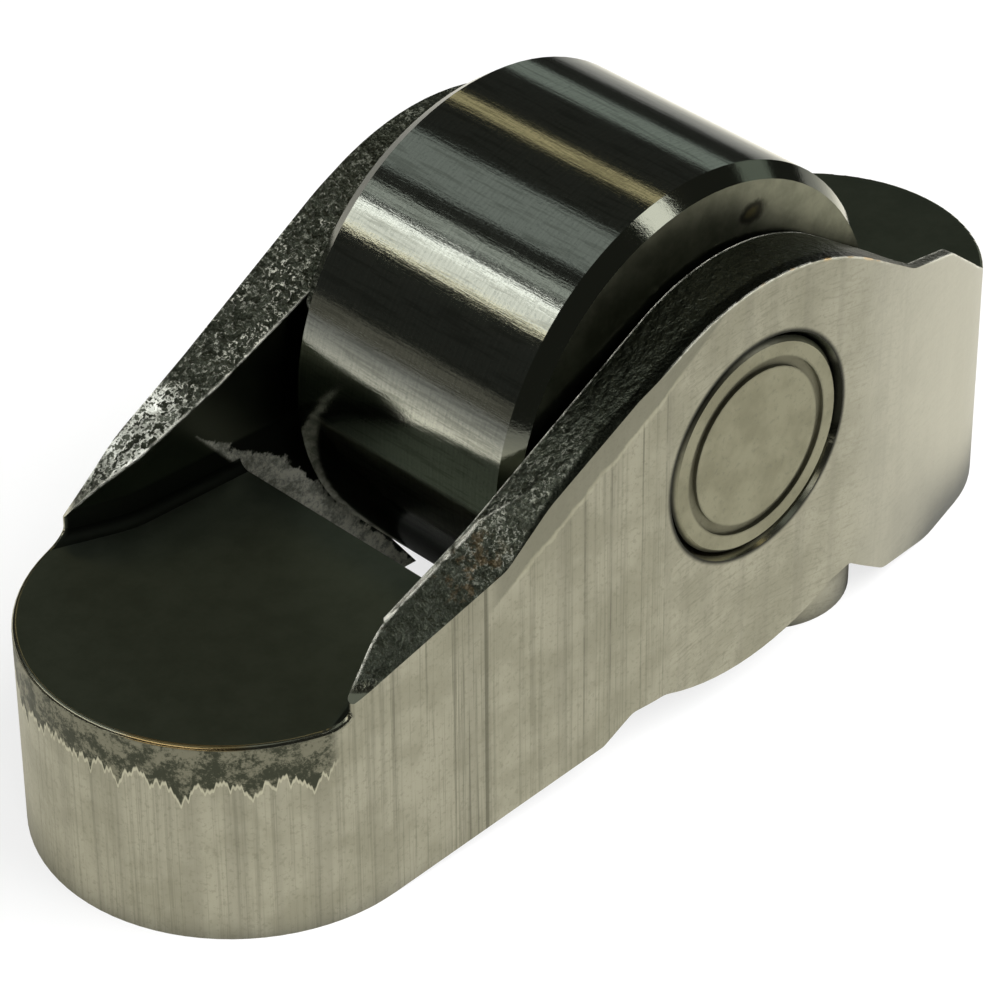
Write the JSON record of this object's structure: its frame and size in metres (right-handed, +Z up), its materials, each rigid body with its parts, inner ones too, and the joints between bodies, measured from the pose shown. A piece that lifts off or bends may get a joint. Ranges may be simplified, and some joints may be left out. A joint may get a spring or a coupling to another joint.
{
  "type": "roller finger follower rocker arm",
  "caption": "Steel rocker arm with a round pivot end, a needle-bearing cam roller between two upright cheeks and a narrow valve end.",
  "frame": {"origin": "under the middle of the arm's length and width, on the plane that the arm stands on", "axes": "+X from the round pivot end to the narrow valve end, +Y along the roller's axle, +Z up towards the cam"},
  "size_m": [0.0418, 0.0164, 0.0194],
  "materials": {
    "arm_steel": "satin drawn sides, dark pads, rough trimmed upper edges",
    "axle_steel": "satin ground",
    "roller_steel": "fine ground, polished",
    "needle_steel": "polished"
  },
  "bodies": {
    "arm": {"arm_body": "arm_steel", "axle_pin": "axle_steel"},
    "roller": {"roller": "roller_steel"},
    "needles": {"needle_01": "needle_steel", "needle_02": "needle_steel", "needle_03": "needle_steel", "needle_04": "needle_steel", "needle_05": "needle_steel", "needle_06": "needle_steel", "needle_07": "needle_steel", "needle_08": "needle_steel", "needle_09": "needle_steel", "needle_10": "needle_steel", "needle_11": "needle_steel", "needle_12": "needle_steel", "needle_13": "needle_steel", "needle_14": "needle_steel", "needle_15": "needle_steel", "needle_16": "needle_steel", "needle_17": "needle_steel", "needle_18": "needle_steel", "needle_19": "needle_steel"}
  },
  "joints": [
    {"name": "roller_spin", "type": "hinge", "parent": "arm", "child": "roller", "pos_m": [0.0028, 0, 0.01045], "axis": [0, 1, 0], "continuous": true},
    {"name": "needle_orbit", "type": "hinge", "parent": "arm", "child": "needles", "pos_m": [0.0028, 0, 0.01045], "axis": [0, 1, 0], "continuous": true}
  ],
  "couplings": [
    {"joint": "needle_orbit", "follows": "roller_spin", "ratio": 0.58073}
  ]
}
